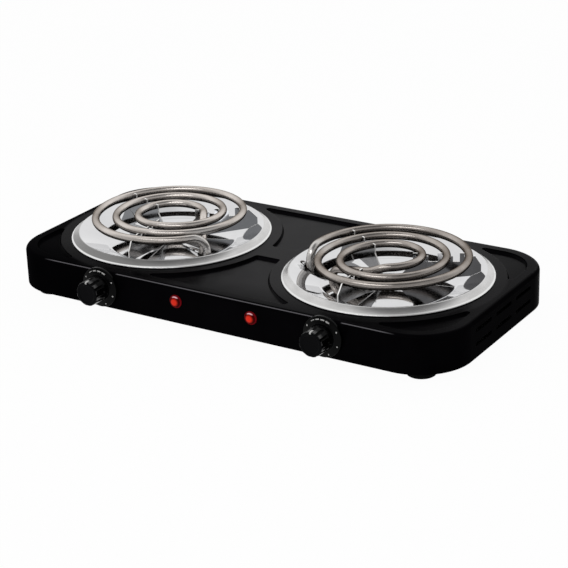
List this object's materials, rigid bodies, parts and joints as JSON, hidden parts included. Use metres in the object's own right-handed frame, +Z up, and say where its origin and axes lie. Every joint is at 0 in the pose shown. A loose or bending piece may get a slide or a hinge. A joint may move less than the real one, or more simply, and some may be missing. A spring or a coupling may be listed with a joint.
{
  "type": "hot plate burner",
  "caption": "Countertop electric hot plate: low black sheet body with coil burners on notched stands over bright drip trays, turning knobs, red pilot lamps and side vents.",
  "frame": {"origin": "on the surface that the feet stand on, in the middle of the overall footprint with the knobs and the cord gland included", "axes": "+X along the body to the right, +Y to the back (the knobs face -Y), +Z up"},
  "size_m": [0.456, 0.2458, 0.0641],
  "materials": {
    "enamel": "black enamel, semi-gloss",
    "base_paint": "black paint, matt",
    "plain_steel": "plain pressed steel",
    "zinc_steel": "zinc plated",
    "foot_rubber": "matt",
    "gland_plastic": "moulded black",
    "block_plastic": "moulded, off-white",
    "coil_sheath": "satin, warm grey",
    "tray_chrome": "bright, rim satin",
    "support_steel": "grey sheet",
    "ceramic": "unglazed, off-white",
    "knob_plastic": "gloss black, white marks",
    "lens_red": "clear red",
    "bulb_glass": "clear",
    "blade_brass": "plain",
    "lead_insulation": "off-white sleeve"
  },
  "bodies": {
    "body": {"base_lugs": "plain_steel", "base_plate": "base_paint", "base_screws": "zinc_steel", "block_screws": "zinc_steel", "centre_bolt_left": "zinc_steel", "centre_bolt_right": "zinc_steel", "centre_nut_left": "zinc_steel", "centre_nut_right": "zinc_steel", "coil_left": "coil_sheath", "coil_right": "coil_sheath", "coil_support_left": "support_steel", "coil_support_right": "support_steel", "cord_gland": "gland_plastic", "drip_tray_left": "tray_chrome", "drip_tray_right": "tray_chrome", "foot_back_left": "foot_rubber", "foot_back_right": "foot_rubber", "foot_front_left": "foot_rubber", "foot_front_right": "foot_rubber", "foot_screws": "zinc_steel", "gland_nut": "gland_plastic", "housing_top": "enamel", "housing_wall": "enamel", "lamp_bulb_left": "bulb_glass", "lamp_bulb_right": "bulb_glass", "lamp_clip_left": "plain_steel", "lamp_clip_right": "plain_steel", "lamp_leads_left": "lead_insulation", "lamp_leads_right": "lead_insulation", "lamp_lens_left": "lens_red", "lamp_lens_right": "lens_red", "live_lead_left": "lead_insulation", "live_lead_right": "lead_insulation", "load_lead_left": "lead_insulation", "load_lead_right": "lead_insulation", "neutral_lead_left": "lead_insulation", "neutral_lead_right": "lead_insulation", "terminal_block": "block_plastic", "terminal_insulators_left": "ceramic", "terminal_insulators_right": "ceramic", "terminal_pins_left": "plain_steel", "terminal_pins_right": "plain_steel", "terminal_plate_left": "plain_steel", "terminal_plate_right": "plain_steel", "thermostat_blades_left": "blade_brass", "thermostat_blades_right": "blade_brass", "thermostat_ceramics_left": "ceramic", "thermostat_ceramics_right": "ceramic", "thermostat_frame_left": "plain_steel", "thermostat_frame_right": "plain_steel", "thermostat_rivet_left": "plain_steel", "thermostat_rivet_right": "plain_steel", "thermostat_screws_left": "zinc_steel", "thermostat_screws_right": "zinc_steel", "tray_strap_left": "plain_steel", "tray_strap_right": "plain_steel"},
    "left_knob": {"knob_left": "knob_plastic", "shaft_left": "plain_steel"},
    "right_knob": {"knob_right": "knob_plastic", "shaft_right": "plain_steel"}
  },
  "joints": [
    {"name": "left_knob_turn", "type": "hinge", "parent": "body", "child": "left_knob", "pos_m": [-0.116, -0.1121, 0.0278], "axis": [0, 1, 0], "range_deg": [0, 270]},
    {"name": "right_knob_turn", "type": "hinge", "parent": "body", "child": "right_knob", "pos_m": [0.116, -0.1121, 0.0278], "axis": [0, 1, 0], "range_deg": [0, 270]}
  ]
}
